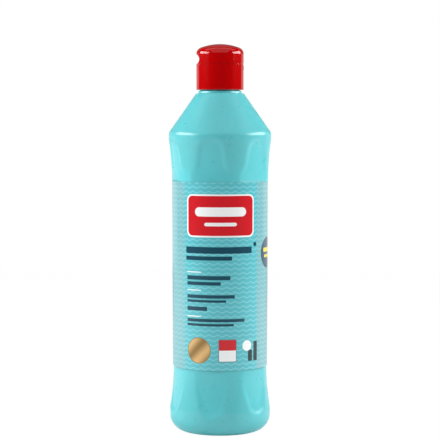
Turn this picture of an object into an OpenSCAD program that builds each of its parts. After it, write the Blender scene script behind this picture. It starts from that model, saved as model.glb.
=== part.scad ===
// Squeeze bottle for thick bleach with a screw-on flip-top closure.
// A blow-moulded fluted bottle with a wrap label carries a moulded closure, its seal ring and a hinged lid.
// The bottle stands on the origin with its axis up, and the lid hinges on the +X side.

/* [Bottle body] */
// Distance that the base band stands out from the waist
base_out = 2.15; // [1.6:0.05:2.4]
// Radius of the round corner between foot and band
base_corner_r = 11; // [8:0.5:12]
// Depth of the waist, the narrowest place, inside the lower end of the label panel
waist_step = 0.2; // [0.15:0.05:0.4]
// Radius of the hollow curve that flares from the waist out to the base band
base_flare_r = 160; // [120:5:180]
// Height of the lower end of the label panel
panel_bottom_z = 42.4; // [40:0.2:50]
// Length of the label panel
panel_h = 120; // [90:1:160]
// Diameter at the lower end of the label panel
panel_d = 60.8; // [56:0.1:66]
// Widening of the label panel towards its upper end
panel_draft = 0.8; // [0:0.1:1]
// Radius of the hollow curve that flares from the panel out to the crest
shoulder_flare_r = 130; // [110:5:160]
// Distance that the crest, the widest band of the bottle, stands out from the panel
crest_out = 2.2; // [1.8:0.05:2.6]
// Height of the straight crest band
crest_h = 5.3; // [3.5:0.1:8]
// Radius of the round edge between crest and shoulder cone
crest_round = 5; // [3:0.5:8]
// Angle between the shoulder cone and the bottle axis
shoulder_angle = 34.9; // [32:0.1:38]
// Distance that the top of the shoulder stands out from the closure
shoulder_rim = 0.15; // [0:0.05:1]
// Wall thickness of the blown body
body_wall = 0.9; // [0.7:0.05:1.2]
// Diameter of the hollow under the foot
pushup_d = 38; // [30:1:41]
// Height of the hollow under the foot
pushup_h = 3; // [2:0.25:4.5]

/* [Flutes] */
// Number of flutes around the bottle at each end
flute_count = 6; // [4:1:6]
// Turn of the first flute from the hinge side
flute_turn = 19.6; // [0:0.2:59.8]
// Radius of the scoop that forms a flute
flute_r = 30; // [26:0.5:34]
// Height of the round lower tip of the base flutes
base_flute_tip_z = 12.5; // [12:0.25:15]
// Lean of the base flutes towards the axis
base_flute_tilt = 15.8; // [14:0.2:17]
// Height of the plain rim between the flutes and the label panel
flute_rim = 0.5; // [0.4:0.1:2]
// Step between a flute floor and the label panel at the mouth of the flute
flute_mouth_step = 0.25; // [0.2:0.05:0.4]
// Height of the deepest place in the base flutes
base_flute_deep_z = 28; // [26:0.5:30]
// Depth of the base flute floor inside its mouth
base_flute_depth = 0.4; // [0.2:0.05:0.8]
// Distance that the shoulder flutes reach up into the crest band
shoulder_flute_reach = 1.2; // [0.6:0.1:2]
// Lean of the shoulder flutes towards the axis
shoulder_flute_tilt = 17; // [15:0.2:18.6]
// Distance from the panel up to the deepest place in the shoulder flutes
shoulder_flute_deep = 12; // [10:0.5:13]
// Depth of the shoulder flute floor inside its mouth
shoulder_flute_depth = 0.6; // [0.3:0.05:0.9]

/* [Neck] */
// Diameter of the neck under its thread
neck_d = 25; // [24.6:0.1:25.4]
// Wall thickness of the neck
neck_wall = 1.7; // [1.4:0.1:2]
// Height of the neck from the shoulder to its sealing land
finish_h = 16.4; // [14:0.1:18]
// Distance that the collar under the closure stands out from the neck
collar_out = 1.4; // [0.8:0.1:1.6]
// Height of the collar
collar_h = 1.8; // [1.2:0.1:2.4]
// Height of the chamfer on the collar
collar_chamfer = 0.4; // [0.2:0.05:0.6]
// Height of the throat, where the inside of the shoulder narrows to the bore
throat_h = 3; // [2:0.25:4]

/* [Label] */
// Thickness of the wrap film with its glue
label_t = 0.25; // [0.1:0.05:0.4]
// Bare margin between the label and each end of its panel
label_margin = 0.4; // [0.2:0.1:3]

/* [Closure] */
// Room between neck and skirt for the two threads
thread_room = 1.4; // [1.2:0.05:1.8]
// Wall thickness of the closure skirt
skirt_wall = 1.35; // [1:0.05:1.5]
// Gap between the skirt and the collar
skirt_gap = 0.5; // [0.3:0.1:1]
// Radius of the round lower edge of the skirt
skirt_edge_r = 0.6; // [0.3:0.05:0.65]
// Thickness of the deck above the seal ring
deck_t = 1.5; // [1.2:0.1:2]
// Clearance of the raised platform inside the thumb recess of the lid
platform_clearance = 0.1; // [0.1:0.05:1]
// Height of the raised platform
platform_h = 0.6; // [0.4:0.1:1]
// Wall thickness of the nozzle
nozzle_wall = 2; // [1.4:0.1:3]
// Narrowing of the nozzle towards its tip
nozzle_draft = 0.3; // [0.1:0.05:0.5]
// Height of the nozzle above the platform
nozzle_h = 2.6; // [2:0.1:4]
// Diameter of the pouring hole
orifice_d = 4; // [3.6:0.1:5]
// Length of the plug that seals in the neck bore
plug_h = 3; // [2:0.25:5]
// Wall thickness of the plug
plug_wall = 1.2; // [0.9:0.1:1.6]
// Clearance of the plug in the neck bore
plug_clearance = 0.1; // [0.05:0.01:0.15]

/* [Seal ring] */
// Thickness of the seal ring
seal_t = 0.8; // [0.6:0.1:1.2]
// Clearance of the seal ring inside the skirt and round the plug
seal_clearance = 0.3; // [0.2:0.05:0.4]

/* [Lid] */
// Height of the lid from the seam to the top of its dome
lid_h = 13; // [12:0.1:16]
// Radius of the domed top
dome_r = 35; // [28:1:60]
// Radius of the round edge of the dome
dome_edge_r = 4.5; // [3:0.25:5.5]
// Wall thickness of the lid
lid_wall = 1.3; // [1:0.05:1.5]
// Gap along the seam between closure and lid
seam_gap = 0.15; // [0.1:0.05:0.3]
// Radius of the thumb recess
thumb_r = 3.6; // [3:0.1:4]
// Depth of the thumb recess
thumb_depth = 1.9; // [1.2:0.1:2]
// Clearance of the sealing pin in the pouring hole
pin_clearance = 0.3; // [0.25:0.05:0.5]
// Length of the sealing pin inside the pouring hole
pin_reach = 1.5; // [0.8:0.1:1.6]
// Distance that the thick root of the sealing pin stands out from the pin
pin_root_out = 1; // [0.5:0.1:1.6]
// Gap between the nozzle and the root of the sealing pin
pin_root_gap = 1; // [0.5:0.1:2]

/* [Hinge] */
// Width of the hinge film
hinge_w = 9; // [6:0.5:12]
// Thickness of the hinge film
hinge_t = 0.35; // [0.25:0.05:0.4]
// Height of the film on each side of the seam
hinge_h = 1; // [0.8:0.1:1.2]
// Distance that the film lies inside the outer wall
hinge_cover = 0.1; // [0.05:0.05:0.2]
// Clearance between the film and the lid
hinge_clearance = 0.1; // [0.05:0.01:0.12]

/* [Hidden] */
$fn = 128;

panel_bottom_r = panel_d / 2;
panel_top_r = (panel_d + panel_draft) / 2;
panel_top_z = panel_bottom_z + panel_h;
waist_r = panel_bottom_r - waist_step;
base_r = waist_r + base_out;
crest_r = panel_top_r + crest_out;
neck_r = neck_d / 2;
bore_r = neck_r - neck_wall;
collar_r = neck_r + collar_out;
skirt_inner_r = neck_r + thread_room;
closure_r = skirt_inner_r + skirt_wall;
shoulder_top_r = closure_r + shoulder_rim;

// Height that a hollow flare of radius r needs to widen from radius a to radius b,
// on a surface that lies t inside the outer one
function flare_rise(r, a, b, t) = sqrt(pow(r + t, 2) - pow(r + t - (b - a), 2));
// Radius of an arc from its sagitta and half of its chord
function arc_radius(sagitta, half_chord) = (pow(sagitta, 2) + pow(half_chord, 2)) / (2 * sagitta);
// Point at distance r from centre c, in direction a
function polar(c, r, a) = [c[0] + r * cos(a), c[1] + r * sin(a)];

crest_edge_z = panel_top_z + flare_rise(shoulder_flare_r, panel_top_r, crest_r, 0);
crest_top_z = crest_edge_z + crest_h;
crest_centre = [crest_r - crest_round, crest_top_z];
cone_start = polar(crest_centre, crest_round, shoulder_angle);
shoulder_top_z = cone_start[1] + (cone_start[0] - shoulder_top_r) / tan(shoulder_angle);
land_z = shoulder_top_z + finish_h;
pushup_r = arc_radius(pushup_h, pushup_d / 2);

base_mouth_r = waist_r - flute_mouth_step;
base_floor_r = base_mouth_r - base_flute_depth;
base_floor_arc_r = arc_radius(base_flute_depth, panel_bottom_z - base_flute_deep_z);
shoulder_mouth_r = panel_top_r - flute_mouth_step;
shoulder_floor_r = shoulder_mouth_r - shoulder_flute_depth;
shoulder_floor_arc_r = arc_radius(shoulder_flute_depth, shoulder_flute_deep);

skirt_bottom_z = shoulder_top_z + collar_h + skirt_gap;
deck_z = land_z + seal_t;
seam_z = deck_z + deck_t;
platform_r = closure_r - thumb_depth - lid_wall - platform_clearance;
platform_z = seam_z + platform_h;
nozzle_z = platform_z + nozzle_h;
orifice_r = orifice_d / 2;
nozzle_r = orifice_r + nozzle_wall;
plug_r = bore_r - plug_clearance;

lid_bottom_z = seam_z + seam_gap;
lid_top_z = seam_z + lid_h;
dome_centre_z = lid_top_z - dome_r;
edge_centre_r = closure_r - dome_edge_r;
edge_centre_z = dome_centre_z + sqrt(pow(dome_r - dome_edge_r, 2) - pow(edge_centre_r, 2));
edge_angle = atan2(edge_centre_z - dome_centre_z, edge_centre_r);
thumb_x = closure_r - thumb_depth + thumb_r;
thumb_z = seam_z + sqrt(pow(thumb_r, 2) - pow(thumb_r - thumb_depth, 2));
pin_r = orifice_r - pin_clearance;
hinge_angle = 2 * asin(hinge_w / 2 / closure_r);
film_inner_r = closure_r - hinge_cover - hinge_t;

// Extra length of a cut where it runs out into the air
over = 1;

// Half section of the plain body, on a surface t inside the outer one
module body_section(t) {
    cone_point = polar(crest_centre, crest_round - t, shoulder_angle);
    cone_end_z = t > 0 ? shoulder_top_z - throat_h : shoulder_top_z;
    difference() {
        polygon([
            [0, t],
            [base_r - base_corner_r, t],
            [base_r - t, base_corner_r],
            [base_r - t, panel_bottom_z - flare_rise(base_flare_r, waist_r, base_r, t)],
            [waist_r - t, panel_bottom_z],
            [panel_bottom_r - t, panel_bottom_z],
            [panel_top_r - t, panel_top_z],
            [crest_r - t, panel_top_z + flare_rise(shoulder_flare_r, panel_top_r, crest_r, t)],
            [crest_r - t, crest_top_z],
            cone_point,
            [cone_point[0] - (cone_end_z - cone_point[1]) * tan(shoulder_angle), cone_end_z],
            [bore_r, shoulder_top_z],
            [0, shoulder_top_z]
        ]);
        intersection() {
            translate([waist_r + base_flare_r, panel_bottom_z]) circle(r = base_flare_r + t, $fn = 720);
            square([crest_r + over, panel_bottom_z]);
        }
        intersection() {
            translate([panel_top_r + shoulder_flare_r, panel_top_z])
                circle(r = shoulder_flare_r + t, $fn = 720);
            translate([0, panel_top_z]) square([crest_r + over, crest_top_z - panel_top_z]);
        }
    }
    translate([base_r - base_corner_r, base_corner_r]) circle(r = base_corner_r - t);
    translate(crest_centre) circle(r = crest_round - t);
}

// Half section of the flute floors: two rings with a hollow rim
module floor_section(t) {
    difference() {
        translate([0, 2 * base_flute_deep_z - panel_bottom_z])
            square([base_mouth_r - t, 2 * (panel_bottom_z - base_flute_deep_z) + over]);
        translate([base_floor_r + base_floor_arc_r, base_flute_deep_z])
            circle(r = base_floor_arc_r + t, $fn = 720);
    }
    difference() {
        translate([0, panel_top_z - over])
            square([shoulder_mouth_r - t, 2 * shoulder_flute_deep + over]);
        translate([shoulder_floor_r + shoulder_floor_arc_r, panel_top_z + shoulder_flute_deep])
            circle(r = shoulder_floor_arc_r + t, $fn = 720);
    }
}

// One scoop at the foot: a leaning cylinder that stops under the label panel
module base_scoop(t) {
    intersection() {
        translate([base_r, 0, base_flute_tip_z])
            rotate([0, -base_flute_tilt, 0])
                translate([flute_r, 0, -flute_r])
                    cylinder(r = flute_r + t, h = panel_bottom_z + flute_r);
        cylinder(r = 2 * crest_r, h = panel_bottom_z - flute_rim);
    }
}

// One scoop under the crest: a leaning cylinder that stops above the label panel
module shoulder_scoop(t) {
    scoop_h = crest_edge_z + shoulder_flute_reach - panel_top_z;
    intersection() {
        translate([crest_r, 0, crest_edge_z + shoulder_flute_reach])
            rotate([0, shoulder_flute_tilt, 0])
                translate([flute_r, 0, -2 * scoop_h])
                    cylinder(r = flute_r + t, h = 2 * scoop_h + flute_r);
        translate([0, 0, panel_top_z + flute_rim]) cylinder(r = 2 * crest_r, h = 2 * scoop_h);
    }
}

// Solid inside the skin that lies t inside the outer surface of the bottle
module fluted_body(t) {
    difference() {
        union() {
            difference() {
                rotate_extrude() body_section(t);
                for (i = [0 : flute_count - 1]) {
                    rotate([0, 0, flute_turn + i * 360 / flute_count]) base_scoop(t);
                    rotate([0, 0, flute_turn + i * 360 / flute_count]) shoulder_scoop(t);
                }
            }
            rotate_extrude() floor_section(t);
        }
        translate([0, 0, pushup_h - pushup_r]) sphere(r = pushup_r + t);
    }
}

// Blow-moulded bottle in one piece: foot, fluted body, shoulder, collar and neck
module bottle() {
    color("turquoise") difference() {
        union() {
            difference() {
                fluted_body(0);
                fluted_body(body_wall);
            }
            translate([0, 0, shoulder_top_z]) cylinder(r = neck_r, h = finish_h);
            translate([0, 0, shoulder_top_z]) cylinder(r = collar_r, h = collar_h - collar_chamfer);
            translate([0, 0, shoulder_top_z + collar_h - collar_chamfer])
                cylinder(r1 = collar_r, r2 = collar_r - collar_chamfer, h = collar_chamfer);
        }
        translate([0, 0, crest_top_z]) cylinder(r = bore_r, h = land_z - crest_top_z + over);
    }
}

// Radius of the label panel at height z
function panel_r(z) = panel_bottom_r + (panel_top_r - panel_bottom_r) * (z - panel_bottom_z) / panel_h;

// Printed film wrapped once round the panel
module label() {
    low = panel_bottom_z + label_margin;
    high = panel_top_z - label_margin;
    color("paleturquoise") rotate_extrude() polygon([
        [panel_r(low), low],
        [panel_r(low) + label_t, low],
        [panel_r(high) + label_t, high],
        [panel_r(high), high]
    ]);
}

// Flat foam ring between the land of the neck and the deck of the closure
module seal_ring() {
    color("whitesmoke") translate([0, 0, land_z]) difference() {
        cylinder(r = skirt_inner_r - seal_clearance, h = seal_t);
        translate([0, 0, -over]) cylinder(r = plug_r + seal_clearance, h = seal_t + 2 * over);
    }
}

// Pocket for the hinge film, from height low to height high, down to radius r
module hinge_pocket_cut(r, low, high) {
    rotate([0, 0, -hinge_angle / 2]) rotate_extrude(angle = hinge_angle)
        translate([r, low]) square([closure_r - r + over, high - low]);
}

// Moulded closure: skirt, deck, plug seal, platform and nozzle
module closure() {
    color("crimson") difference() {
        rotate_extrude() {
            difference() {
                union() {
                    translate([0, skirt_bottom_z + skirt_edge_r])
                        square([closure_r, seam_z - skirt_bottom_z - skirt_edge_r]);
                    translate([0, skirt_bottom_z]) square([closure_r - skirt_edge_r, skirt_edge_r]);
                    translate([closure_r - skirt_edge_r, skirt_bottom_z + skirt_edge_r])
                        circle(r = skirt_edge_r, $fn = 48);
                }
                translate([0, skirt_bottom_z - over])
                    square([skirt_inner_r, deck_z - skirt_bottom_z + over]);
            }
            translate([0, deck_z]) square([platform_r, deck_t + platform_h]);
            polygon([
                [0, platform_z],
                [nozzle_r, platform_z],
                [nozzle_r - nozzle_draft, nozzle_z],
                [0, nozzle_z]
            ]);
            polygon([
                [plug_r - plug_wall, deck_z],
                [plug_r - plug_wall, deck_z - plug_h],
                [plug_r - plug_wall / 2, deck_z - plug_h],
                [plug_r, deck_z - plug_h + plug_wall],
                [plug_r, deck_z]
            ]);
        }
        translate([0, 0, deck_z - over]) cylinder(r = orifice_r, h = nozzle_z - deck_z + 2 * over);
        hinge_pocket_cut(film_inner_r, seam_z - hinge_h, seam_z + over);
    }
}

// Half section of the lid, on a surface t inside the outer one
module lid_section(t) {
    dome_point = polar([0, dome_centre_z], dome_r - t, edge_angle);
    polygon([
        [0, lid_bottom_z],
        [closure_r - t, lid_bottom_z],
        [closure_r - t, edge_centre_z],
        dome_point,
        [0, dome_point[1]]
    ]);
    translate([edge_centre_r, edge_centre_z]) circle(r = dome_edge_r - t);
    intersection() {
        translate([0, dome_centre_z]) circle(r = dome_r - t, $fn = 720);
        translate([0, dome_point[1]]) square([dome_point[0], dome_r]);
    }
}

// Moulded lid: domed shell with a thumb recess opposite the hinge and a sealing pin
module lid() {
    color("red") difference() {
        rotate_extrude() lid_section(0);
        difference() {
            union() {
                rotate_extrude() lid_section(lid_wall);
                translate([0, 0, lid_bottom_z - over])
                    cylinder(r = closure_r - lid_wall, h = 2 * over);
            }
            translate([-thumb_x, 0, thumb_z]) rotate([90, 0, 0])
                cylinder(r = thumb_r + lid_wall, h = 2 * closure_r, center = true);
            translate([0, 0, nozzle_z - pin_reach])
                cylinder(r = pin_r, h = lid_top_z - lid_wall - nozzle_z + pin_reach);
            translate([0, 0, nozzle_z + pin_root_gap])
                cylinder(r = pin_r + pin_root_out, h = lid_top_z - lid_wall - nozzle_z - pin_root_gap);
        }
        translate([-thumb_x, 0, thumb_z]) rotate([90, 0, 0])
            cylinder(r = thumb_r, h = 2 * closure_r, center = true);
        hinge_pocket_cut(film_inner_r - hinge_clearance, lid_bottom_z - over, seam_z + hinge_h);
    }
}

// Thin film that joins closure and lid, lying in the two pockets
module hinge_film() {
    color("orangered") rotate([0, 0, -hinge_angle / 2]) rotate_extrude(angle = hinge_angle)
        translate([film_inner_r, seam_z - hinge_h])
            square([hinge_t, 2 * hinge_h - hinge_clearance]);
}

bottle();
label();
seal_ring();
closure();
hinge_film();
lid();
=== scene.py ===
import math

import bpy
import numpy as np
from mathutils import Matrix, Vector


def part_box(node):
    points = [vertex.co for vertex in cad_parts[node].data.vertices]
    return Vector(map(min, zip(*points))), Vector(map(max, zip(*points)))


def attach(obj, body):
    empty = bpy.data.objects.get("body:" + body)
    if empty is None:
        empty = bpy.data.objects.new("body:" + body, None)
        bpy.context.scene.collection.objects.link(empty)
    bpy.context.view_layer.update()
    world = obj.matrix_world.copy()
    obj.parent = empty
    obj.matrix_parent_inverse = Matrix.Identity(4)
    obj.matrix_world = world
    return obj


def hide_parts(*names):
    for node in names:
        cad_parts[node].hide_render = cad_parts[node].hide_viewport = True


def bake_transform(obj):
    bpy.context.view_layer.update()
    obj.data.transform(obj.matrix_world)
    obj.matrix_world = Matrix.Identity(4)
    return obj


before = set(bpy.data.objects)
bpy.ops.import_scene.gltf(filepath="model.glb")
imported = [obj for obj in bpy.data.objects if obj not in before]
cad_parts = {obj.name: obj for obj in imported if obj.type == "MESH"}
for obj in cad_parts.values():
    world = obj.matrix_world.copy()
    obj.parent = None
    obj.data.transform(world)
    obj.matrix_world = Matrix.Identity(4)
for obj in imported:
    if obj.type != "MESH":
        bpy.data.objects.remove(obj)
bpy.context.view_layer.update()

# Bottle body.
# One hollow blow moulding of turquoise polyethylene: foot, fluted body, shoulder, collar and neck.
# The wall is under a millimetre thick, so light that falls on its back comes through.

MM = 0.001
bottle_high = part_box("bottle")[1]
label_low, label_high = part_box("label")
closure_low, closure_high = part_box("closure")

BODY_WALL = 0.9
CREST_R = bottle_high.x / MM
LAND_Z = bottle_high.z / MM
LABEL_MARGIN = 0.4
PANEL_LOW_Z = label_low.z / MM - LABEL_MARGIN
PANEL_HIGH_Z = label_high.z / MM + LABEL_MARGIN
CREST_OUT = 2.2
PANEL_DRAFT = 0.4
PANEL_HIGH_R = CREST_R - CREST_OUT
PANEL_LOW_R = PANEL_HIGH_R - PANEL_DRAFT
BAND_OUT = 1.95
BAND_R = PANEL_LOW_R + BAND_OUT
BAND_FLARE = 160.0
WAIST_STEP = 0.3
WAIST_R = PANEL_LOW_R - WAIST_STEP
TONGUE_OUT = 0.4
TONGUE_RISE = 3.6
TONGUE_FOOT_R = PANEL_HIGH_R + TONGUE_OUT
TONGUE_FOOT_Z = PANEL_HIGH_Z + TONGUE_RISE
CREST_FLARE = 150.0
CREST_RISE = 29.1
CREST_TOP_Z = PANEL_HIGH_Z + CREST_RISE
CREST_ROUND = 5.0
CORNER = 11.0
PUSHUP_R = 19.0
PUSHUP_H = 3.0
CONE_ANGLE = 34.9
FINISH_H = 16.4
SHOULDER_TOP_Z = LAND_Z - FINISH_H
SHOULDER_TOP_R = 15.4
LEDGE_ROUND = 0.35
COLLAR_R = 13.9
COLLAR_H = 1.8
COLLAR_CHAMFER = 0.4
NECK_R = 12.5
BORE_R = 10.8
THROAT_H = 3.0

# Each flute has a round tip at its shallow end, and round tongues of the plain wall reach down between two flutes.
# Its floor is a flare of its own that is partly flat across, and its sides slope in over FLUTE_SLOPE.
FLUTES = 6
FLUTE_TURN = 19.6
FLUTE_MIDDLE_R = 31.4
FLUTE_SLOPE = 4.8
FLUTE_FLAT = 0.45
FLUTE_SOFT = 0.12
BASE_FLUTE = {"tip_z": 20.7, "tip_r": 7.0, "tongue_z": 32.5, "tongue_r": 4.9}
BASE_FLOOR = {"r": 29.2, "z": 37.0, "bend": 115.0}
SHOULDER_FLUTE = {"tip_z": 181.9, "tip_r": 7.6, "tongue_z": 175.4, "tongue_r": 7.4}
SHOULDER_FLOOR = {"r": 29.75, "z": 166.0, "bend": 120.0}

# Rows of the mesh: the hollow under the foot has its own, and the rows of the crest run a little past its edge.
DOME_ROWS = 12
INNER_DOME_ROWS = 9
CREST_ROWS_PAST = 1.6

def arc_radius(rise, half_chord):
    """Radius of an arc from its rise and half of its chord."""
    return (rise ** 2 + half_chord ** 2) / (2 * rise)


def arc(centre_r, centre_z, radius, start, end, count):
    """Points of an arc in the half section, with angles in degrees from the outward direction."""
    turn = np.radians(np.linspace(start, end, count))
    return np.column_stack([centre_r + radius * np.cos(turn), centre_z + radius * np.sin(turn)])


def flare(z, start_r, start_z, radius, inset):
    """Radius at height z of a hollow flare that leaves the panel at start_z."""
    reach = np.maximum((radius + inset) ** 2 - (z - start_z) ** 2, 0)
    return start_r + radius - np.sqrt(reach)


def line(start, end, count):
    """Evenly spaced points from start to end."""
    return np.linspace(start, end, count)


CREST_EDGE_Z = TONGUE_FOOT_Z + math.sqrt(CREST_FLARE ** 2 - (CREST_FLARE - CREST_R + TONGUE_FOOT_R) ** 2)
pushup_sphere = arc_radius(PUSHUP_H, PUSHUP_R)


def body_rows(inset, fine):
    """Half section of the plain body from the middle of the foot up to the end of the cone."""
    dome_r = pushup_sphere + inset
    dome_z = PUSHUP_H - pushup_sphere
    rim = math.degrees(math.asin((inset - dome_z) / dome_r))
    dome = arc(0, dome_z, dome_r, 90, rim, INNER_DOME_ROWS if inset else DOME_ROWS)
    dome[0, 0] = 0
    foot = arc(BAND_R - CORNER, CORNER, CORNER - inset, -90, 0, 14)
    base_z = np.linspace(CORNER + 0.6, PANEL_LOW_Z, fine)
    base_r = np.minimum(BAND_R - inset, flare(base_z, WAIST_R, PANEL_LOW_Z, BAND_FLARE, inset))
    panel = line((PANEL_LOW_R - inset, PANEL_LOW_Z + 0.3), (PANEL_HIGH_R - inset, PANEL_HIGH_Z - 0.3), 7)
    top_z = np.linspace(PANEL_HIGH_Z, CREST_EDGE_Z + CREST_ROWS_PAST, fine)
    tongue_z = np.maximum(top_z, TONGUE_FOOT_Z)
    top_r = np.minimum(CREST_R - inset, flare(tongue_z, TONGUE_FOOT_R, TONGUE_FOOT_Z, CREST_FLARE, inset))
    edge = arc(CREST_R - CREST_ROUND, CREST_TOP_Z, CREST_ROUND - inset, 0, CONE_ANGLE, 8)
    cone_end_z = SHOULDER_TOP_Z - (THROAT_H if inset else LEDGE_ROUND)
    cone_end_r = edge[-1, 0] - (cone_end_z - edge[-1, 1]) * math.tan(math.radians(CONE_ANGLE))
    cone = line(edge[-1], (cone_end_r, cone_end_z), 6)[1:]
    return np.vstack([dome, foot, np.column_stack([base_r, base_z]), panel,
                      np.column_stack([top_r, top_z]), edge, cone])


def soft_min(a, b, width):
    """Smaller of a and b with their crease rounded over width."""
    near = np.maximum(width - np.abs(a - b), 0) / width
    return np.minimum(a, b) - near ** 2 * width / 4


def inside_flute(u, z, tip_z, tip_r, tongue_z, tongue_r):
    """Distance inside the edge of a flute: a round tip, straight sides, then the round tips of the tongues
    beside it, half a pitch away."""
    tip = np.array([0.0, tip_z])
    tongue = np.array([math.pi / FLUTES * FLUTE_MIDDLE_R, tongue_z])
    run = tongue - tip
    away = run / np.hypot(*run)
    across = np.array([abs(away[1]), -math.copysign(away[0], away[1])])
    share = (tip_r + tongue_r) / np.hypot(*run)
    normal = share * away + math.sqrt(1 - share ** 2) * across
    start = tip + tip_r * normal
    end = tongue - tongue_r * normal
    along = (end - start) / np.hypot(*(end - start))
    side_u, side_z = np.abs(u) - start[0], z - start[1]
    travel = side_u * along[0] + side_z * along[1]
    to_side = -(side_u * normal[0] + side_z * normal[1])
    to_tip = tip_r - np.hypot(u, z - tip_z)
    to_tongue = np.hypot(np.abs(u) - tongue[0], z - tongue_z) - tongue_r
    return np.where(travel < 0, to_tip, np.where(travel > np.hypot(*(end - start)), to_tongue, to_side))


def fluted(r, z, angles, inset):
    """Plain radius r at height z with the six base flutes and six shoulder flutes sunk in."""
    step = math.tau / FLUTES
    turn = (angles - math.radians(FLUTE_TURN) + step / 2) % step - step / 2
    u = turn * FLUTE_MIDDLE_R
    for flute, floor, low_z, high_z in (
            (BASE_FLUTE, BASE_FLOOR, CORNER, PANEL_LOW_Z + 0.01),
            (SHOULDER_FLUTE, SHOULDER_FLOOR, PANEL_HIGH_Z - 0.01, CREST_EDGE_Z + CREST_ROWS_PAST + 0.1)):
        depth = np.clip(inside_flute(u, z, **flute) / FLUTE_SLOPE + 0.5, 0, 1)
        depth = depth * depth * (3 - 2 * depth)
        floor_r = flare(z, floor["r"], floor["z"], floor["bend"], inset) - inset
        floor_r = floor_r * (1 + FLUTE_FLAT * (1 / np.cos(turn) - 1))
        sunk = r - depth * (r - floor_r + np.sqrt((r - floor_r) ** 2 + FLUTE_SOFT ** 2)) / 2
        r = np.where((z > low_z) & (z < high_z), sunk, r)
    return r


PITCH = 4.2333
NECK_THREAD_CREST = 13.65
NECK_THREAD_TOP = LAND_Z - 2.6
NECK_THREAD_TURNS = 1.6


def thread_height(angles, z, top, turns):
    """How far a thread stands out, from 0 to 1, on a right-handed helix that ends at height top."""
    foot_half = 1.2
    crest_half = 0.42
    run_out = 0.08
    highest = np.zeros(np.broadcast(angles, z).shape)
    for turn in range(-1, int(turns) + 2):
        along = (angles % math.tau) / math.tau + turn
        centre = top - PITCH * (turns - along)
        flank = np.clip((foot_half - np.abs(z - centre)) / (foot_half - crest_half), 0, 1)
        fade = np.clip(along / run_out, 0, 1) * np.clip((turns - along) / run_out, 0, 1)
        highest = np.maximum(highest, flank * flank * (3 - 2 * flank) * fade)
    return highest


def turned_mesh(name, radii, heights, angles, loop=False):
    """Smooth mesh from rows of radii at heights, round the axis. A row on the axis becomes one point."""
    radii, heights = np.broadcast_arrays(radii, heights)
    rows, columns = radii.shape
    points = np.stack([radii * np.cos(angles), radii * np.sin(angles), heights], axis=-1) * MM
    index = np.arange(rows * columns).reshape(rows, columns)
    for end in (0, rows - 1):
        if radii[end].max() < 1e-6:
            index[end] = index[end, 0]
    quads = []
    for row in range(rows if loop else rows - 1):
        low, high = index[row], index[(row + 1) % rows]
        quads.append(np.stack([low, np.roll(low, -1), np.roll(high, -1), high], axis=1))
    quads = np.vstack(quads)
    used, compact = np.unique(quads, return_inverse=True)
    faces = []
    for face in compact.reshape(-1, 4).tolist():
        faces.append(list(dict.fromkeys(face)))
    mesh = bpy.data.meshes.new(name)
    mesh.from_pydata(points.reshape(-1, 3)[used].tolist(), [], faces)
    mesh.polygons.foreach_set("use_smooth", [True] * len(mesh.polygons))
    mesh.update()
    made = bpy.data.objects.new(name, mesh)
    bpy.context.scene.collection.objects.link(made)
    return made


COLUMNS = 312
parting = np.radians([-0.7, -0.35, 0.35, 0.7])
bottle_angles = np.unique(np.concatenate([
    np.linspace(0, math.tau, COLUMNS, endpoint=False), parting[2:], parting[:2] + math.tau,
    parting + math.pi]))[None, :]

outer = body_rows(0, 56)
inner = body_rows(BODY_WALL, 16)[::-1]
outer_r = fluted(outer[:, :1], outer[:, 1:], bottle_angles, 0)
inner_r = fluted(inner[:, :1], inner[:, 1:], bottle_angles, BODY_WALL)

collar_top_z = SHOULDER_TOP_Z + COLLAR_H
thread_z = np.linspace(collar_top_z + 1.2, LAND_Z - 1.2, 42)
neck = np.vstack([
    arc(SHOULDER_TOP_R - LEDGE_ROUND, SHOULDER_TOP_Z - LEDGE_ROUND, LEDGE_ROUND, 30, 90, 4),
    arc(COLLAR_R + 0.3, SHOULDER_TOP_Z + 0.3, 0.3, 270, 180, 4),
    [(COLLAR_R, collar_top_z - COLLAR_CHAMFER - 0.1), (COLLAR_R - 0.05, collar_top_z - COLLAR_CHAMFER + 0.05)],
    [(COLLAR_R - COLLAR_CHAMFER, collar_top_z), (COLLAR_R - COLLAR_CHAMFER - 0.1, collar_top_z + 0.02)],
    arc(NECK_R + 0.4, collar_top_z + 0.4, 0.4, 270, 180, 4),
])
land = np.vstack([
    arc(NECK_R - 0.4, LAND_Z - 0.4, 0.4, 0, 90, 5),
    arc(BORE_R + 0.2, LAND_Z - 0.2, 0.2, 90, 180, 4),
    line((BORE_R, LAND_Z - 4), (BORE_R, SHOULDER_TOP_Z + 0.5), 4),
    [(BORE_R + 0.1, SHOULDER_TOP_Z)],
])
neck_thread_r = NECK_R + (NECK_THREAD_CREST - NECK_R) * thread_height(
    bottle_angles, thread_z[:, None], NECK_THREAD_TOP, NECK_THREAD_TURNS)
spread = np.ones_like(bottle_angles)
bottle_r = np.vstack([outer_r, neck[:, :1] * spread, neck_thread_r, land[:, :1] * spread, inner_r])
bottle_z = np.concatenate([outer[:, 1], neck[:, 1], thread_z, land[:, 1], inner[:, 1]])[:, None]

# The two mould halves meet at the sides, where the flash leaves a fine raised line.
PARTING_H = 0.05
PARTING_HALF = math.radians(0.4)
side = np.abs((bottle_angles + math.pi / 2) % math.pi - math.pi / 2)
outside_rows = np.arange(len(bottle_z)) < len(outer) + len(neck)
ridge = PARTING_H * np.exp(-(side / PARTING_HALF) ** 2) * outside_rows[:, None] * (bottle_r > PUSHUP_R)
bottle_r = bottle_r + ridge

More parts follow.
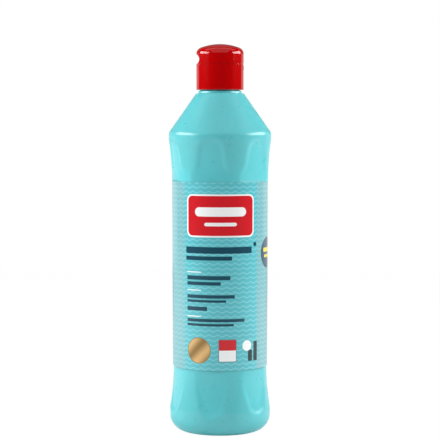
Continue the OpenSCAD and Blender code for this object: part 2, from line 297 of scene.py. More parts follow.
# Under the foot the blown tube is pinched shut, which leaves a low weld bead across the hollow.
WELD_H = 0.7
WELD_HALF = 0.7
WELD_REACH = 17.5
across_bead = np.abs(bottle_r * np.sin(bottle_angles))
along_bead = np.abs(bottle_r * np.cos(bottle_angles))
hollow_rows = (np.arange(len(bottle_z)) <= DOME_ROWS)[:, None]
bead = WELD_H * np.exp(-(across_bead / WELD_HALF) ** 2) * np.clip((WELD_REACH - along_bead) / 2, 0, 1)
bottle_z = bottle_z - bead * hollow_rows

bottle = turned_mesh("bottle_body", bottle_r, bottle_z, bottle_angles)
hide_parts("bottle")
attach(bottle, "bottle")


def new_material(name):
    """Empty node material with its output and one Principled shader."""
    made = bpy.data.materials.new(name)
    made.use_nodes = True
    shader = made.node_tree.nodes["Principled BSDF"]
    return made, made.node_tree, shader


def add(tree, kind, **settings):
    """New node of a tree, with its settings."""
    node = tree.nodes.new(kind)
    for key, value in settings.items():
        setattr(node, key, value)
    return node


def wire(tree, value, socket):
    """Feed a socket from another node's output, or set it to a plain value."""
    if isinstance(value, bpy.types.NodeSocket):
        tree.links.new(value, socket)
    else:
        socket.default_value = value


def calc(tree, operation, first, second=0.0, third=0.0, clamp=False):
    """Math node on two or three values; returns its output."""
    node = add(tree, "ShaderNodeMath", operation=operation, use_clamp=clamp)
    for value, socket in zip((first, second, third), node.inputs):
        wire(tree, value, socket)
    return node.outputs[0]


def mix_colour(tree, mask, first, second):
    """Colour that goes from first to second with the mask; returns the output."""
    node = add(tree, "ShaderNodeMix", data_type="RGBA")
    wire(tree, mask, node.inputs["Factor"])
    wire(tree, first, node.inputs[6])
    wire(tree, second, node.inputs[7])
    return node.outputs[2]


def noise(tree, vector, scale, detail=2.0, roughness=0.5):
    """Noise texture value over a vector."""
    node = add(tree, "ShaderNodeTexNoise")
    tree.links.new(vector, node.inputs["Vector"])
    node.inputs["Scale"].default_value = scale
    node.inputs["Detail"].default_value = detail
    node.inputs["Roughness"].default_value = roughness
    return node.outputs["Fac"]


def plastic_skin():
    """Node group for a moulded plastic skin: slight unevenness of the gloss and a faint orange peel."""
    group = bpy.data.node_groups.new("plastic_skin", "ShaderNodeTree")
    face = group.interface
    face.new_socket("Roughness", in_out="INPUT", socket_type="NodeSocketFloat").default_value = 0.1
    face.new_socket("Spread", in_out="INPUT", socket_type="NodeSocketFloat").default_value = 0.05
    face.new_socket("Ripple", in_out="INPUT", socket_type="NodeSocketFloat").default_value = 0.1
    face.new_socket("Ripple Size", in_out="INPUT", socket_type="NodeSocketFloat").default_value = 0.01
    face.new_socket("Roughness", in_out="OUTPUT", socket_type="NodeSocketFloat")
    face.new_socket("Cloud", in_out="OUTPUT", socket_type="NodeSocketFloat")
    face.new_socket("Normal", in_out="OUTPUT", socket_type="NodeSocketVector")
    given = add(group, "NodeGroupInput").outputs
    result = add(group, "NodeGroupOutput").inputs
    place = add(group, "ShaderNodeTexCoord").outputs["Object"]
    cloud = noise(group, place, 45.0, 3.0)
    smear = noise(group, place, 260.0, 4.0, 0.6)
    marks = calc(group, "MULTIPLY", calc(group, "SUBTRACT", smear, 0.5), given["Spread"])
    group.links.new(calc(group, "ADD", given["Roughness"], marks, clamp=True), result["Roughness"])
    group.links.new(cloud, result["Cloud"])
    scale = calc(group, "DIVIDE", 1.0, given["Ripple Size"])
    peel = add(group, "ShaderNodeTexNoise")
    group.links.new(place, peel.inputs["Vector"])
    group.links.new(scale, peel.inputs["Scale"])
    peel.inputs["Detail"].default_value = 1.0
    bump = add(group, "ShaderNodeBump")
    bump.inputs["Distance"].default_value = 0.0006
    group.links.new(given["Ripple"], bump.inputs["Strength"])
    group.links.new(peel.outputs["Fac"], bump.inputs["Height"])
    group.links.new(bump.outputs["Normal"], result["Normal"])
    return group


skin_group = plastic_skin()


def add_skin(tree, shader, roughness, spread, ripple, ripple_size):
    """Place the plastic skin in a material and wire it to the shader; returns the cloud mask."""
    skin = add(tree, "ShaderNodeGroup", node_tree=skin_group)
    skin.inputs["Roughness"].default_value = roughness
    skin.inputs["Spread"].default_value = spread
    skin.inputs["Ripple"].default_value = ripple
    skin.inputs["Ripple Size"].default_value = ripple_size
    tree.links.new(skin.outputs["Roughness"], shader.inputs["Roughness"])
    tree.links.new(skin.outputs["Normal"], shader.inputs["Normal"])
    return skin.outputs["Cloud"]


TURQUOISE = (0.108, 0.55, 0.6, 1)
TURQUOISE_PALE = (0.128, 0.59, 0.63, 1)

bottle_plastic, tree, shader = new_material("blown_turquoise_plastic")
cloud = add_skin(tree, shader, 0.28, 0.04, 0.1, 0.012)
tree.links.new(mix_colour(tree, cloud, TURQUOISE, TURQUOISE_PALE), shader.inputs["Base Color"])
shader.inputs["IOR"].default_value = 1.5
shader.inputs["Subsurface Weight"].default_value = 0.7
shader.inputs["Subsurface Radius"].default_value = (0.35, 1.0, 1.0)
shader.inputs["Subsurface Scale"].default_value = 0.004
bottle.data.materials.append(bottle_plastic)

# Label.
# A printed plastic film, wrapped once round the straight panel and lapped at the back.
# It is glued on, so it follows the panel and its ends stay just inside the panel's ends.

LABEL_LOW_Z = label_low.z / MM
LABEL_HIGH_Z = label_high.z / MM
FILM_OUT = 0.17
LAP_OUT = 0.07
LAP_HALF = math.radians(9)
LAP_AT = math.pi / 2

label_angles = np.unique(np.concatenate([
    np.linspace(0, math.tau, 180, endpoint=False),
    LAP_AT + LAP_HALF + np.radians([-0.12, -0.04, 0.04]),
    LAP_AT - LAP_HALF + np.radians(np.linspace(-3, 3, 7)),
]))[None, :]
label_z = np.concatenate([
    [LABEL_LOW_Z + 0.05, LABEL_LOW_Z + 0.09], np.linspace(LABEL_LOW_Z + 0.15, LABEL_HIGH_Z - 0.15, 25),
    [LABEL_HIGH_Z - 0.09, LABEL_HIGH_Z - 0.05]])
panel_r = np.interp(label_z, (PANEL_LOW_Z, PANEL_HIGH_Z), (PANEL_LOW_R, PANEL_HIGH_R))
from_lap = label_angles - LAP_AT
cut_end = np.clip((LAP_HALF - from_lap) / math.radians(0.12), 0, 1)
buried_end = np.clip((from_lap + LAP_HALF) / math.radians(4) + 0.5, 0, 1)
lap = cut_end * buried_end
face_r = panel_r[:, None] + FILM_OUT + LAP_OUT * lap
back_r = (panel_r + 0.02)[:, None] * np.ones_like(label_angles)
rim = 0.05
label_rows = np.vstack([back_r[:1], face_r[:1] - rim, face_r, face_r[-1:] - rim, back_r[-1:], back_r[::-1]])
label_heights = np.concatenate([
    [LABEL_LOW_Z, LABEL_LOW_Z], label_z, [LABEL_HIGH_Z, LABEL_HIGH_Z], label_z[::-1]])[:, None]
label = turned_mesh("label_film", label_rows, label_heights, label_angles, loop=True)
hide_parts("label")
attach(label, "bottle")


def print_group(name, inputs):
    """Empty node group for a printed shape: U and V in, its sizes in, one mask out."""
    group = bpy.data.node_groups.new(name, "ShaderNodeTree")
    for title in ("U", "V") + inputs:
        group.interface.new_socket(title, in_out="INPUT", socket_type="NodeSocketFloat")
    group.interface.new_socket("Mask", in_out="OUTPUT", socket_type="NodeSocketFloat")
    return group, add(group, "NodeGroupInput").outputs, add(group, "NodeGroupOutput").inputs["Mask"]


def printed_field():
    """Mask of an upright rounded rectangle, in millimetres on the label."""
    group, given, mask = print_group("printed_field", ("Centre U", "Centre V", "Half U", "Half V", "Round"))
    beyond = []
    for axis in ("U", "V"):
        offset = calc(group, "ABSOLUTE", calc(group, "SUBTRACT", given[axis], given[f"Centre {axis}"]))
        flat = calc(group, "SUBTRACT", given[f"Half {axis}"], given["Round"])
        beyond.append(calc(group, "MAXIMUM", calc(group, "SUBTRACT", offset, flat), 0.0))
    squares = [calc(group, "MULTIPLY", side, side) for side in beyond]
    distance = calc(group, "SQRT", calc(group, "ADD", squares[0], squares[1]))
    edge = calc(group, "SUBTRACT", given["Round"], distance)
    group.links.new(calc(group, "MULTIPLY_ADD", edge, 8.0, 0.5, clamp=True), mask)
    return group


def printed_waves():
    """Mask of thin wave lines, one above the other."""
    group, given, mask = print_group("printed_waves", ("Spacing", "Length", "Swing", "Width"))
    turn = calc(group, "MULTIPLY", calc(group, "DIVIDE", given["U"], given["Length"]), math.tau)
    swing = calc(group, "MULTIPLY", calc(group, "SINE", turn), given["Swing"])
    row = calc(group, "DIVIDE", calc(group, "ADD", given["V"], swing), given["Spacing"])
    offset = calc(group, "ABSOLUTE", calc(group, "SUBTRACT", calc(group, "FRACT", row), 0.5))
    distance = calc(group, "MULTIPLY", offset, given["Spacing"])
    edge = calc(group, "SUBTRACT", calc(group, "MULTIPLY", given["Width"], 0.5), distance)
    group.links.new(calc(group, "MULTIPLY_ADD", edge, 6.0, 0.5, clamp=True), mask)
    return group


field_group = printed_field()
waves_group = printed_waves()

label_film, tree, shader = new_material("printed_label_film")
place = add(tree, "ShaderNodeSeparateXYZ")
tree.links.new(add(tree, "ShaderNodeTexCoord").outputs["Object"], place.inputs[0])
PRINT_R = 31.0
front_x = calc(tree, "MULTIPLY", place.outputs["Y"], -1.0)
label_u = calc(tree, "MULTIPLY", calc(tree, "ARCTAN2", place.outputs["X"], front_x), PRINT_R)
label_v = calc(tree, "MULTIPLY", place.outputs["Z"], 1 / MM)


def print_mask(group, **sizes):
    """Place a printed shape in the label's material; returns its mask."""
    shape = add(tree, "ShaderNodeGroup", node_tree=group)
    tree.links.new(label_u, shape.inputs["U"])
    tree.links.new(label_v, shape.inputs["V"])
    for title, value in sizes.items():
        shape.inputs[title.replace("_", " ").title()].default_value = value
    return shape.outputs["Mask"]


def field(centre_u, centre_v, half_u, half_v, rounding):
    """Mask of a printed rounded rectangle; a disc where all three sizes are equal."""
    return print_mask(field_group, centre_u=centre_u, centre_v=centre_v, half_u=half_u, half_v=half_v, round=rounding)


PALE = (0.19, 0.44, 0.475, 1)
PALE_WAVE = (0.25, 0.52, 0.56, 1)
FRONT = (0.105, 0.475, 0.53, 1)
WAVE = (0.19, 0.575, 0.63, 1)
WHITE = (0.86, 0.88, 0.88, 1)
RED = (0.60, 0.012, 0.02, 1)
DARK_TEAL = (0.006, 0.06, 0.095, 1)
BRONZE_FOIL = (0.25, 0.14, 0.032, 1)
FOIL_PAINTED_GLINT = (0.68, 0.43, 0.17, 1)
SLATE = (0.055, 0.11, 0.15, 1)
CHARCOAL = (0.022, 0.042, 0.045, 1)
YELLOW = (0.86, 0.66, 0.06, 1)

front_field = field(0.7, 102.4, 25.9, 80.0, 0.2)
waves = print_mask(waves_group, spacing=3.03, length=5.6, swing=0.5, width=0.8)
ground = mix_colour(tree, front_field, PALE, FRONT)
ground = mix_colour(tree, waves, ground, mix_colour(tree, front_field, PALE_WAVE, WAVE))

# The foil disc is bronze, with one slanting band of painted reflection across it and a second at its edge, painted
# into its colour.
FOIL_PITCH = 0.4
FOIL_START = 27.32
foil_run = calc(tree, "MULTIPLY_ADD", calc(tree, "SUBTRACT", label_u, label_v), FOIL_PITCH, FOIL_START)
painted_glint_on_foil = calc(tree, "MULTIPLY_ADD", calc(tree, "SINE", foil_run), 0.45, 0.5)
foil_and_painted_glint = mix_colour(tree, painted_glint_on_foil, BRONZE_FOIL, FOIL_PAINTED_GLINT)

BADGE_V = 141.1
LEFT_U = -22.9
layers = [
    (field(0.4, BADGE_V, 23.3, 13.6, 4.0), WHITE),
    (field(0.4, BADGE_V, 22.3, 12.6, 3.2), RED),
    (field(0.4, BADGE_V + 2.5, 17.0, 2.9, 2.9), WHITE),
    (field(0.4, BADGE_V - 5.4, 10.5, 1.1, 1.1), WHITE),
    (field(-0.9, 119.3, 22.9, 2.1, 0.6), DARK_TEAL),
    (field(-8.0, 114.2, 15.8, 1.3, 0.5), DARK_TEAL),
    (field(24.8, 122.8, 1.4, 1.4, 1.4), DARK_TEAL),
    (field(41.2, 116.6, 10.0, 10.0, 10.0), SLATE),
    (field(40.5, 118.4, 5.6, 1.3, 0.5), YELLOW),
    (field(40.5, 114.4, 4.4, 0.9, 0.4), YELLOW),
    (field(-14.3, 55.5, 8.3, 8.3, 8.3), BRONZE_FOIL),
    # The foil disc: bronze with bands of painted reflection.
    (field(-14.3, 55.5, 7.9, 7.9, 7.9), foil_and_painted_glint),
    (field(4.9, 55.6, 5.9, 7.2, 0.9), SLATE),
    (field(4.9, 55.6, 5.55, 6.85, 0.7), WHITE),
    (field(4.9, 59.1, 5.55, 3.35, 0.4), RED),
    (field(20.9, 52.0, 1.7, 3.6, 0.6), CHARCOAL),
    (field(25.4, 54.6, 1.7, 6.2, 0.6), CHARCOAL),
    (field(18.4, 58.4, 3.4, 3.4, 3.4), WHITE),
]
for height in (105.4, 93.9, 77.3):
    layers.append((field(-17.7, height, 5.2, 0.3, 0.2), WHITE))
for centre_v, end_u, half_v in ((101.8, 6.7, 1.3), (98.2, 0.5, 1.1), (89.9, 9.6, 1.1), (87.0, 4.0, 0.8),
                                (82.2, -8.3, 1.3), (74.8, 16.5, 1.0), (71.9, 9.0, 0.8)):
    layers.append((field((LEFT_U + end_u) / 2, centre_v, (end_u - LEFT_U) / 2, half_v, 0.4), DARK_TEAL))

# The unseen back carries two columns of plain bars where small print would be.
BACK_U = 70.0
BACK_HALF = 14.5
for row in range(14):
    for side_u in (-BACK_U, BACK_U):
        half_length = BACK_HALF - 3.5 * ((row * 5 + (side_u > 0)) % 4) / 3
        layers.append((field(side_u, 128.0 - 4.6 * row, half_length, 0.55, 0.3), DARK_TEAL))
for side_u in (-BACK_U, BACK_U):
    layers.append((field(side_u, 142.0, BACK_HALF, 4.2, 1.0), FRONT))
    layers.append((field(side_u, 54.0, BACK_HALF, 3.6, 1.0), FRONT))

colour = ground
for mask, ink in layers:
    colour = mix_colour(tree, mask, colour, ink)
tree.links.new(colour, shader.inputs["Base Color"])
shader.inputs["IOR"].default_value = 1.47
film_wave = add(tree, "ShaderNodeBump")
film_wave.inputs["Strength"].default_value = 0.08
film_wave.inputs["Distance"].default_value = 0.0008
wrinkle = noise(tree, add(tree, "ShaderNodeTexCoord").outputs["Object"], 60.0, 2.0)
tree.links.new(wrinkle, film_wave.inputs["Height"])
tree.links.new(film_wave.outputs["Normal"], shader.inputs["Normal"])
satin = calc(tree, "MULTIPLY_ADD", wrinkle, 0.06, 0.14)
tree.links.new(satin, shader.inputs["Roughness"])
label.data.materials.append(label_film)

# Seal ring.
# A flat ring punched from white foam sheet, pressed on the sealing land by the deck of the closure.
# Its shape is that of the solid, so it keeps the solid and gets the look of closed-cell foam.

foam, tree, shader = new_material("white_foam_sheet")
place = add(tree, "ShaderNodeTexCoord").outputs["Object"]
cells = add(tree, "ShaderNodeTexVoronoi")
cells.inputs["Scale"].default_value = 3500.0
tree.links.new(place, cells.inputs["Vector"])
pores = add(tree, "ShaderNodeBump")
pores.inputs["Strength"].default_value = 0.5
pores.inputs["Distance"].default_value = 0.0001
tree.links.new(cells.outputs["Distance"], pores.inputs["Height"])
tree.links.new(pores.outputs["Normal"], shader.inputs["Normal"])
FOAM = (0.80, 0.80, 0.77, 1)
FOAM_SHADE = (0.70, 0.70, 0.67, 1)
tree.links.new(mix_colour(tree, noise(tree, place, 400.0), FOAM, FOAM_SHADE), shader.inputs["Base Color"])
shader.inputs["Roughness"].default_value = 0.85
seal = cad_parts["seal_ring"]
seal.data.materials.clear()
seal.data.materials.append(foam)

# Closure.
# One injection moulding of red polypropylene: smooth skirt with the screw thread inside, deck with a plug seal
# below it, and a raised platform with the nozzle on top. The hinge side has a pocket for the film.

CLOSURE_R = closure_high.x / MM
SKIRT_LOW_Z = closure_low.z / MM
NOZZLE_Z = closure_high.z / MM
NOZZLE_H = 2.6
PLATFORM_H = 0.6
DECK_T = 1.5
SEAM_Z = NOZZLE_Z - NOZZLE_H - PLATFORM_H
DECK_Z = SEAM_Z - DECK_T
SKIRT_INNER_R = 13.9
PLATFORM_R = 11.95
NOZZLE_R = 4.0
NOZZLE_TIP_R = 3.7
ORIFICE_R = 2.0
PLUG_R = 10.7
PLUG_WALL = 1.2
PLUG_H = 3.0
SKIRT_EDGE = 0.6
FILM_R = 14.8
FILM_HALF = math.asin(4.5 / CLOSURE_R)
POCKET_H = 1.0
CLOSURE_THREAD_CREST = 12.85
CLOSURE_THREAD_TURNS = 1.75
pocket_edge = np.radians(0.08)
closure_angles = np.unique(np.concatenate([
    np.linspace(0, math.tau, 192, endpoint=False),
    [FILM_HALF - pocket_edge, FILM_HALF + pocket_edge],
    [math.tau - FILM_HALF - pocket_edge, math.tau - FILM_HALF + pocket_edge],
]))[None, :]
skirt = np.vstack([
    arc(SKIRT_INNER_R + 0.3, SKIRT_LOW_Z + 0.3, 0.3, 180, 270, 4),
    arc(CLOSURE_R - SKIRT_EDGE, SKIRT_LOW_Z + SKIRT_EDGE, SKIRT_EDGE, 270, 360, 7),
    line((CLOSURE_R, SKIRT_LOW_Z + 2), (CLOSURE_R, SEAM_Z - POCKET_H - 0.03), 6),
    [(CLOSURE_R, SEAM_Z - POCKET_H + 0.03), (CLOSURE_R, SEAM_Z - 0.06)],
    arc(CLOSURE_R - 0.03, SEAM_Z - 0.03, 0.03, 0, 90, 4),
    [(PLATFORM_R + 0.35, SEAM_Z)],
    arc(PLATFORM_R + 0.2, SEAM_Z + 0.2, 0.2, 270, 180, 3),
    arc(PLATFORM_R - 0.2, SEAM_Z + PLATFORM_H - 0.2, 0.2, 0, 90, 4),
    [(NOZZLE_R + 1.4, SEAM_Z + PLATFORM_H)],
    arc(NOZZLE_R + 0.5, SEAM_Z + PLATFORM_H + 0.5, 0.5, 270, 185, 5),
    arc(NOZZLE_TIP_R - 0.35, NOZZLE_Z - 0.35, 0.35, 5, 90, 5),
    arc(ORIFICE_R + 0.25, NOZZLE_Z - 0.25, 0.25, 90, 180, 4),
    line((ORIFICE_R, NOZZLE_Z - 0.8), (ORIFICE_R, DECK_Z + 0.2), 3),
    arc(ORIFICE_R + 0.2, DECK_Z + 0.2, 0.2, 180, 270, 3),
    [(PLUG_R - PLUG_WALL - 0.5, DECK_Z)],
    arc(PLUG_R - PLUG_WALL - 0.3, DECK_Z - 0.3, 0.3, 90, 0, 3),
    [(PLUG_R - PLUG_WALL, DECK_Z - PLUG_H + 0.2)],
    arc(PLUG_R - PLUG_WALL / 2 - 0.3, DECK_Z - PLUG_H + 0.3, 0.3, 180, 270, 3),
    arc(PLUG_R - PLUG_WALL / 2, DECK_Z - PLUG_H + 0.3, 0.3, 270, 330, 3),
    arc(PLUG_R - 0.4, DECK_Z - PLUG_H + PLUG_WALL, 0.4, -20, 0, 2),
    [(PLUG_R, DECK_Z - 0.1), (PLUG_R + 0.1, DECK_Z), (SKIRT_INNER_R - 0.3, DECK_Z)],
    arc(SKIRT_INNER_R - 0.3, DECK_Z - 0.3, 0.3, 90, 0, 4),
])
closure_thread_z = np.linspace(DECK_Z - 0.9, SKIRT_LOW_Z + 1.6, 56)
closure_thread = thread_height(
    closure_angles, closure_thread_z[:, None], NECK_THREAD_TOP + PITCH / 2, CLOSURE_THREAD_TURNS)
thread_r = SKIRT_INNER_R - (SKIRT_INNER_R - CLOSURE_THREAD_CREST) * closure_thread
skirt_r = skirt[:, :1] * np.ones_like(closure_angles)
skirt_z = skirt[:, 1:]
off_hinge = np.abs((closure_angles + math.pi) % math.tau - math.pi)
pocket = (off_hinge < FILM_HALF) & (skirt_z > SEAM_Z - POCKET_H) & (skirt_z < SEAM_Z + 0.01) & (skirt_r > FILM_R)
skirt_r = np.where(pocket, FILM_R, skirt_r)
closure = turned_mesh(
    "closure_body", np.vstack([skirt_r, thread_r]),
    np.concatenate([skirt_z[:, 0], closure_thread_z])[:, None], closure_angles, loop=True)
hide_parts("closure")
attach(closure, "closure")

CAP_RED = (0.43, 0.0008, 0.0015, 1)
CAP_RED_PALE = (0.47, 0.001, 0.002, 1)


def red_plastic(name, roughness, ripple):
    """Deep red moulded polypropylene with a hard gloss."""
    made, tree, shader = new_material(name)
    cloud = add_skin(tree, shader, roughness, 0.05, ripple, 0.008)
    tree.links.new(mix_colour(tree, cloud, CAP_RED, CAP_RED_PALE), shader.inputs["Base Color"])
    shader.inputs["IOR"].default_value = 1.49
    return made


closure.data.materials.append(red_plastic("red_moulded_plastic", 0.09, 0.025))

# Hinge film.
# A thin web of the same moulding that joins closure and lid on the +X side.
# It is thinnest at the seam, where it folds each time that the lid opens.

film_low, film_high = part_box("hinge_film")
FILM_LOW_Z = film_low.z / MM
FILM_HIGH_Z = film_high.z / MM
FILM_OUTER_R = film_high.x / MM
FILM_T = 0.35
FILM_FOLD_T = 0.2
FILM_COLUMNS = 25
FILM_ROWS = 29

film_z = np.linspace(FILM_LOW_Z, FILM_HIGH_Z, FILM_ROWS)
film_turn = np.linspace(-FILM_HALF, FILM_HALF, FILM_COLUMNS) * 0.99
fold = np.exp(-((film_z - SEAM_Z - 0.07) / 0.25) ** 2)
outer_face = FILM_OUTER_R - (FILM_T - FILM_FOLD_T) * 0.4 * fold
inner_face = FILM_OUTER_R - FILM_T + (FILM_T - FILM_FOLD_T) * 0.6 * fold
points = []
for face_radius in (outer_face, inner_face):
    for height, radius in zip(film_z, face_radius):
        for turn in film_turn:
            points.append((radius * math.cos(turn) * MM, radius * math.sin(turn) * MM, height * MM))
faces = []
back_start = FILM_ROWS * FILM_COLUMNS
for row in range(FILM_ROWS - 1):
    for column in range(FILM_COLUMNS - 1):
        a = row * FILM_COLUMNS + column
        quad = (a, a + 1, a + FILM_COLUMNS + 1, a + FILM_COLUMNS)
        faces.append(quad)
        faces.append(tuple(back_start + corner for corner in reversed(quad)))
for column in range(FILM_COLUMNS - 1):
    top = (FILM_ROWS - 1) * FILM_COLUMNS + column
    faces.append((column + 1, column, back_start + column, back_start + column + 1))
    faces.append((top, top + 1, back_start + top + 1, back_start + top))
for row in range(FILM_ROWS - 1):
    left = row * FILM_COLUMNS
    right = left + FILM_COLUMNS - 1
    faces.append((left, left + FILM_COLUMNS, back_start + left + FILM_COLUMNS, back_start + left))
    faces.append((right + FILM_COLUMNS, right, back_start + right, back_start + right + FILM_COLUMNS))
film_mesh = bpy.data.meshes.new("hinge_strap")
film_mesh.from_pydata(points, [], faces)
film_mesh.polygons.foreach_set("use_smooth", [True] * len(film_mesh.polygons))
film_mesh.update()
film = bpy.data.objects.new("hinge_strap", film_mesh)
bpy.context.scene.collection.objects.link(film)
film.data.materials.append(red_plastic("red_hinge_plastic", 0.18, 0.05))
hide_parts("hinge_film")
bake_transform(film)

# Lid.
# A domed shell of the same red moulding, with a thumb recess opposite the hinge
# and a stepped pin under the dome that seals the nozzle when the lid snaps shut.

lid_low, lid_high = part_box("lid")
LID_LOW_Z = lid_low.z / MM
LID_TOP_Z = lid_high.z / MM
DOME_R = 35.0
DOME_EDGE = 4.5
LID_WALL = 1.3
THUMB_R = 3.6
THUMB_DEPTH = 1.9
THUMB_X = CLOSURE_R - THUMB_DEPTH + THUMB_R
THUMB_Z = SEAM_Z + math.sqrt(THUMB_R ** 2 - (THUMB_R - THUMB_DEPTH) ** 2)
PIN_R = ORIFICE_R - 0.3
PIN_ROOT_R = PIN_R + 1.0
PIN_LOW_Z = NOZZLE_Z - 1.5
PIN_ROOT_Z = NOZZLE_Z + 1.0
DOME_Z = LID_TOP_Z - DOME_R
EDGE_Z = DOME_Z + math.sqrt((DOME_R - DOME_EDGE) ** 2 - (CLOSURE_R - DOME_EDGE) ** 2)
EDGE_ANGLE = math.degrees(math.atan2(EDGE_Z - DOME_Z, CLOSURE_R - DOME_EDGE))

lid_angles = np.unique(np.concatenate([
    np.linspace(0, math.tau, 216, endpoint=False),
    [FILM_HALF - pocket_edge, FILM_HALF + pocket_edge],
    [math.tau - FILM_HALF - pocket_edge, math.tau - FILM_HALF + pocket_edge],
]))[None, :]
lid_dome = arc(0, DOME_Z, DOME_R, 90, EDGE_ANGLE, 16)
lid_dome[0, 0] = 0
under_dome = arc(0, DOME_Z, DOME_R - LID_WALL, EDGE_ANGLE, 86, 12)
lid_outside = np.vstack([
    lid_dome,
    arc(CLOSURE_R - DOME_EDGE, EDGE_Z, DOME_EDGE, EDGE_ANGLE, 0, 16)[1:-1],
    line((CLOSURE_R, EDGE_Z), (CLOSURE_R, LID_LOW_Z + 0.06), 30),
    arc(CLOSURE_R - 0.03, LID_LOW_Z + 0.03, 0.03, 0, -90, 3),
])
lid_inside = np.vstack([
    arc(CLOSURE_R - LID_WALL + 0.15, LID_LOW_Z + 0.15, 0.15, 270, 180, 3),
    line((CLOSURE_R - LID_WALL, LID_LOW_Z + 0.2), (CLOSURE_R - LID_WALL, EDGE_Z), 18),
    arc(CLOSURE_R - DOME_EDGE, EDGE_Z, DOME_EDGE - LID_WALL, 0, EDGE_ANGLE, 8)[1:-1],
    under_dome[under_dome[:, 0] > PIN_ROOT_R + 0.3],
    [(PIN_ROOT_R, LID_TOP_Z - LID_WALL - 0.5), (PIN_ROOT_R, PIN_ROOT_Z + 0.3)],
    arc(PIN_ROOT_R - 0.3, PIN_ROOT_Z + 0.3, 0.3, 0, -90, 4),
    arc(PIN_R + 0.2, PIN_ROOT_Z - 0.2, 0.2, 90, 180, 3),
    [(PIN_R, PIN_LOW_Z + 0.6)],
    arc(PIN_R - 0.5, PIN_LOW_Z + 0.5, 0.5, 0, -90, 5),
    [(0, PIN_LOW_Z)],
])
lid_profile = np.vstack([lid_outside, lid_inside])
lid_r = lid_profile[:, :1] * np.ones_like(lid_angles)
lid_z = lid_profile[:, 1:]

# The thumb recess is a round groove across the far side of the lid; the shell follows it inside.
from_front = (lid_angles % math.tau) - math.pi
facing = np.maximum(np.cos(from_front), 0.05)
is_inner = (np.arange(len(lid_profile)) >= len(lid_outside))[:, None]
groove_r = np.where(is_inner, THUMB_R + LID_WALL, THUMB_R)
groove_reach = np.sqrt(np.maximum(groove_r ** 2 - (lid_z - THUMB_Z) ** 2, 0))
groove = np.where(np.abs(lid_z - THUMB_Z) < groove_r, (THUMB_X - groove_reach) / facing, 99.0)
lid_r = np.where(lid_r > PLATFORM_R - 2, np.minimum(lid_r, soft_min(lid_r, groove, 0.35)), lid_r)
off_hinge = np.abs((lid_angles + math.pi) % math.tau - math.pi)
pocket = (off_hinge < FILM_HALF) & (lid_z < SEAM_Z + POCKET_H) & (lid_r > FILM_R - 0.1) & ~is_inner
lid_r = np.where(pocket, FILM_R - 0.1, lid_r)
lid = turned_mesh("lid_shell", lid_r[::-1], lid_z[::-1], lid_angles)
lid.data.materials.append(closure.data.materials[0])
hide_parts("lid")
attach(lid, "lid")

# Studio.
# A pale table and a plain white surround, with a softbox on each side, one above and a broad one in front.
# The surround is white to the camera and behind the bottle, and dim in front, so the gloss stays deep.

FLOOR_R = 1.2
FLOOR_Z = -0.0002
FLOOR_SIDES = 96
floor_mesh = bpy.data.meshes.new("floor")
floor_points = []
for side_number in range(FLOOR_SIDES):
    turn = math.tau * side_number / FLOOR_SIDES
    floor_points.append((FLOOR_R * math.cos(turn), FLOOR_R * math.sin(turn), FLOOR_Z))
floor_mesh.from_pydata(floor_points, [], [tuple(range(FLOOR_SIDES))])
floor = bpy.data.objects.new("floor", floor_mesh)
bpy.context.scene.collection.objects.link(floor)

paper, tree, shader = new_material("white_table")
shader.inputs["Base Color"].default_value = (0.7, 0.7, 0.7, 1)
shader.inputs["Roughness"].default_value = 0.7
seen = add(tree, "ShaderNodeLightPath")
glow = add(tree, "ShaderNodeEmission")
glow.inputs["Strength"].default_value = 1.03
looked_at = calc(tree, "MAXIMUM", seen.outputs["Is Camera Ray"], seen.outputs["Is Transmission Ray"])
see_white = calc(tree, "MULTIPLY", looked_at, 0.95)
# The photo's sweep throws light back on the foot, so the table glows a little towards the bottle.
see_white = calc(tree, "MAXIMUM", see_white, calc(tree, "MULTIPLY", seen.outputs["Is Diffuse Ray"], 0.25))
mixed = add(tree, "ShaderNodeMixShader")
tree.links.new(see_white, mixed.inputs[0])
tree.links.new(shader.outputs[0], mixed.inputs[1])
tree.links.new(glow.outputs[0], mixed.inputs[2])
# From below the table is clear, so that the underside shows.
from_below = add(tree, "ShaderNodeMixShader")
tree.links.new(add(tree, "ShaderNodeNewGeometry").outputs["Backfacing"], from_below.inputs[0])
tree.links.new(mixed.outputs[0], from_below.inputs[1])
tree.links.new(add(tree, "ShaderNodeBsdfTransparent").outputs[0], from_below.inputs[2])
tree.links.new(from_below.outputs[0], tree.nodes["Material Output"].inputs["Surface"])
floor.data.materials.append(paper)

world = bpy.data.worlds.new("surround")
bpy.context.scene.world = world
world.use_nodes = True
tree = world.node_tree
background = tree.nodes["Background"]
background.inputs["Color"].default_value = (1, 1, 1, 1)
seen = add(tree, "ShaderNodeLightPath")
direction = add(tree, "ShaderNodeSeparateXYZ")
tree.links.new(add(tree, "ShaderNodeTexCoord").outputs["Generated"], direction.inputs[0])
# What gloss sees: the bright part starts this far behind the bottle and is brighter still near the ground.
BEHIND_FROM = 0.56
BEHIND_SOFT = 0.04
LOW_UNDER = 0.07
LOW_SOFT = 0.05
BEHIND_GLOSS = 0.17
LOW_GLOSS = 0.6
FRONT_GLOSS = 0.0
DIFFUSE_LEVEL = 0.26
how_far_behind = calc(tree, "SUBTRACT", direction.outputs["Y"], BEHIND_FROM)
behind = calc(tree, "MULTIPLY_ADD", how_far_behind, 1 / BEHIND_SOFT, 0.0, clamp=True)
how_low = calc(tree, "SUBTRACT", LOW_UNDER, direction.outputs["Z"])
low = calc(tree, "MULTIPLY_ADD", how_low, 1 / LOW_SOFT, 0.0, clamp=True)
behind_level = calc(tree, "MULTIPLY_ADD", low, LOW_GLOSS, BEHIND_GLOSS)
gloss_level = calc(tree, "MAXIMUM", calc(tree, "MULTIPLY", behind, behind_level), FRONT_GLOSS)
direct = calc(tree, "MAXIMUM", seen.outputs["Is Camera Ray"], seen.outputs["Is Transmission Ray"])
gloss = calc(tree, "MULTIPLY", seen.outputs["Is Glossy Ray"], gloss_level)
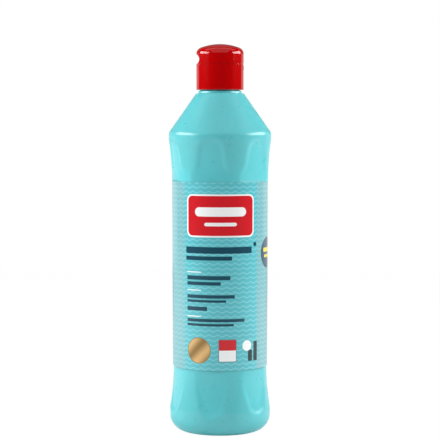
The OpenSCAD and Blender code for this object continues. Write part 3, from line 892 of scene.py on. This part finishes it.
other = calc(tree, "SUBTRACT", 1.0, calc(tree, "MAXIMUM", direct, seen.outputs["Is Glossy Ray"]), clamp=True)
level = calc(tree, "ADD", calc(tree, "MAXIMUM", direct, gloss), calc(tree, "MULTIPLY", other, DIFFUSE_LEVEL))
tree.links.new(level, background.inputs["Strength"])

BOTTLE_MIDDLE_Z = 0.125


def softbox(name, azimuth, elevation, distance, width, height, watts):
    """Rectangular lamp that faces the middle of the bottle, azimuth from the camera's side."""
    lamp = bpy.data.lights.new(name, "AREA")
    lamp.shape = "RECTANGLE"
    lamp.size, lamp.size_y = width, height
    lamp.energy = watts
    made = bpy.data.objects.new(name, lamp)
    a, e = math.radians(azimuth), math.radians(elevation)
    made.location = (distance * math.sin(a) * math.cos(e), -distance * math.cos(a) * math.cos(e),
                     BOTTLE_MIDDLE_Z + distance * math.sin(e))
    made.rotation_euler = (math.radians(90 - elevation), 0, a)
    made.visible_camera = False
    bpy.context.scene.collection.objects.link(made)
    return made


softbox("softbox_right", azimuth=92, elevation=22, distance=0.95, width=0.9, height=0.36, watts=9.5)
softbox("softbox_left", azimuth=-86, elevation=22, distance=0.95, width=0.9, height=0.36, watts=10.0)
softbox("softbox_top", azimuth=180, elevation=84, distance=0.8, width=1.4, height=0.35, watts=1.6)
softbox("softbox_front", azimuth=0, elevation=50, distance=0.9, width=1.3, height=0.85, watts=2.3)

CAMERA_Y = -1.1618
CAMERA_Z = 0.2078
CAMERA_PITCH = 3.5
CAMERA_LENS = 147.27
CAMERA_SENSOR = 36

camera_data = bpy.data.cameras.new("camera")
camera_data.lens = CAMERA_LENS
camera_data.sensor_width = CAMERA_SENSOR
camera_data.clip_start = 0.05
camera_data.clip_end = 20
camera = bpy.data.objects.new("camera", camera_data)
camera.location = (0, CAMERA_Y, CAMERA_Z)
camera.rotation_euler = (math.radians(90 - CAMERA_PITCH), 0, 0)
bpy.context.scene.collection.objects.link(camera)
bpy.context.scene.camera = camera
bpy.context.scene.view_settings.view_transform = "Standard"
